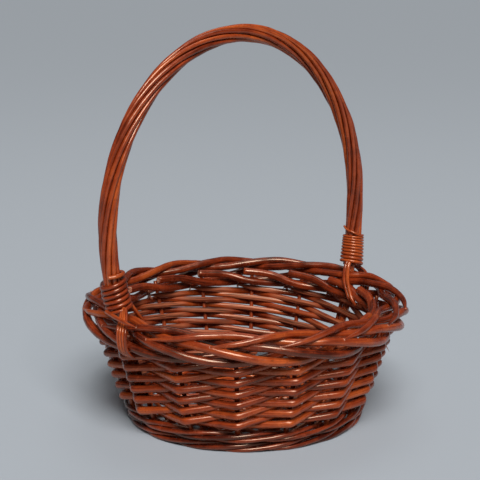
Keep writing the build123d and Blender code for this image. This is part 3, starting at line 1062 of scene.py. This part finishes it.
def loose_end():
    """Points and radii of the cut end that shows above the left wraps."""
    lash = settings().lashing
    points = []
    for angle, rise in LOOSE_END_WAY:
        points.append(wrap_point(-1, lash.left_radius, lash.left_high + rise * MM, radians(angle)))
    return points, [lash.left_radius] * len(points)


def beside_foot(side, out, up, aside):
    """Place beside a foot of the handle: out and up from the border's middle, and aside."""
    border = settings().border
    reach = sqrt((border.radius + out * MM) ** 2 - aside**2)
    return Vector((side * reach, aside, border.height + up * MM))


def strap_ways(side):
    """Points and radii of the straps beside a foot of the handle, and of the left tail."""
    lash = settings().lashing
    if side < 0:
        plan = [
            (OUTER_STRANDS, lash.outer_pitch, lash.strap_radius, LEFT_OUTER_WAY),
            (INNER_STRANDS, lash.inner_pitch, lash.strap_radius, LEFT_INNER_WAY),
        ]
    else:
        plan = [
            (OUTER_STRANDS, lash.outer_pitch, lash.strap_radius, RIGHT_OUTER_WAY),
            (INNER_STRANDS, lash.right_inner_pitch, lash.right_strap_radius, RIGHT_INNER_WAY),
        ]
    ways = []
    for strands, pitch, radius, way in plan:
        for strand in range(strands):
            points = []
            for out, up, slant, spread in way:
                aside = slant * MM + pitch * spread * (strand - (strands - 1) / 2)
                points.append(beside_foot(side, out, up, aside))
            ways.append((points, [radius] * len(points)))
    if side < 0:
        points = [beside_foot(side, out, up, slant * MM) for out, up, slant in LEFT_TAIL_WAY]
        ways.append((points, [lash.left_radius * girth for girth in LEFT_TAIL_GIRTHS]))
    return ways


class BASKET_OT_lashings(Operator):
    """Wind the lashings round the feet of the handle"""

    bl_idname = "basket.lashings"
    bl_label = "Lashings"

    def execute(self, context):
        lash = settings().lashing
        chance = Random(LASHING_SEED)
        left = wrap_way(
            -1,
            lash.left_radius,
            lash.left_low,
            lash.left_high,
            lash.left_wraps,
            tilt=lash.left_tilt,
        )
        right = wrap_way(
            1,
            lash.right_radius,
            lash.right_low,
            lash.right_high,
            lash.right_wraps,
            taper=lash.right_taper,
            tail_rise=lash.right_tail_rise,
        )
        for name, side, way in (("left", -1, left), ("right", 1, right)):
            wraps = make_rod(
                f"{name}_lashing_wraps_willow", *way, chance, rings=WRAP_RINGS, pale=WRAP_PALE
            )
            if side < 0:
                cut_end = make_rod("loose_end", *loose_end(), chance, pale=WRAP_PALE)
                wraps = join_rods(wraps.name, [wraps, cut_end])
            settle(wraps, f"{name}_lashing_wraps")
            straps = [make_rod("strap", *strap, chance, pale=STRAP_PALE) for strap in strap_ways(side)]
            straps = join_rods(f"{name}_lashing_straps_willow", straps)
            settle(straps, f"{name}_lashing_straps")
        return {"FINISHED"}


# Stage

def add_lamp(name, place, size, power):
    """A square soft box turned to the basket."""
    bpy.ops.object.light_add(type="AREA", location=place)
    lamp = bpy.context.object
    lamp.name = name
    lamp.data.size = size
    lamp.data.energy = power
    lamp.rotation_euler = (Vector(LAMP_TARGET) - Vector(place)).to_track_quat("-Z", "Y").to_euler()


class BASKET_OT_stage(Operator):
    """Set the floor, the light and the camera"""

    bl_idname = "basket.stage"
    bl_label = "Stage"

    def execute(self, context):
        bpy.ops.object.select_all(action="DESELECT")
        bpy.ops.mesh.primitive_plane_add(size=FLOOR_SIZE)
        floor = context.object
        floor.name = "floor"
        material, shader = new_material("Pale floor")
        shader.inputs["Base Color"].default_value = (*settings().finish.floor, 1)
        shader.inputs["Roughness"].default_value = FLOOR_ROUGHNESS
        floor.data.materials.append(material)
        for lamp in LAMPS:
            add_lamp(*lamp)
        bpy.ops.object.light_add(type="SUN", rotation=CEILING_TURN)
        ceiling = context.object
        ceiling.name = "ceiling"
        ceiling.data.energy = CEILING_POWER
        ceiling.data.angle = CEILING_SPREAD
        world = bpy.data.worlds.new("Studio")
        context.scene.world = world
        world.use_nodes = True
        world.node_tree.nodes["Background"].inputs["Color"].default_value = SURROUNDINGS
        bpy.ops.object.camera_add(location=CAMERA_PLACE)
        camera = context.object
        camera.rotation_euler = (radians(90 - CAMERA_DIP), 0, radians(CAMERA_TURN))
        camera.data.lens = CAMERA_LENS
        camera.data.sensor_width = CAMERA_SENSOR
        context.scene.camera = camera
        context.scene.view_settings.view_transform = "Standard"
        return {"FINISHED"}


OPERATORS = [
    BASKET_OT_stakes,
    BASKET_OT_side_rods,
    BASKET_OT_border,
    BASKET_OT_foot,
    BASKET_OT_base,
    BASKET_OT_handle,
    BASKET_OT_lashings,
    BASKET_OT_stage,
]


class VIEW3D_PT_basket(Panel):
    """Steps that make the basket, in order"""

    bl_label = "Willow Basket"
    bl_space_type = "VIEW_3D"
    bl_region_type = "UI"
    bl_category = "Basket"

    def draw(self, context):
        for operator in OPERATORS:
            self.layout.operator(operator.bl_idname)


CLASSES = [
    WallSizes,
    BorderSizes,
    FootSizes,
    BaseSizes,
    HandleSizes,
    LashingSizes,
    Finish,
    BasketSettings,
    *OPERATORS,
    VIEW3D_PT_basket,
]


def register():
    for item in CLASSES:
        bpy.utils.register_class(item)
    bpy.types.Scene.willow_basket = PointerProperty(type=BasketSettings)


def unregister():
    del bpy.types.Scene.willow_basket
    for item in reversed(CLASSES):
        bpy.utils.unregister_class(item)


def main():
    register()
    for operator in OPERATORS:
        group, name = operator.bl_idname.split(".")
        getattr(getattr(bpy.ops, group), name)()


if __name__ == "__main__":
    main()
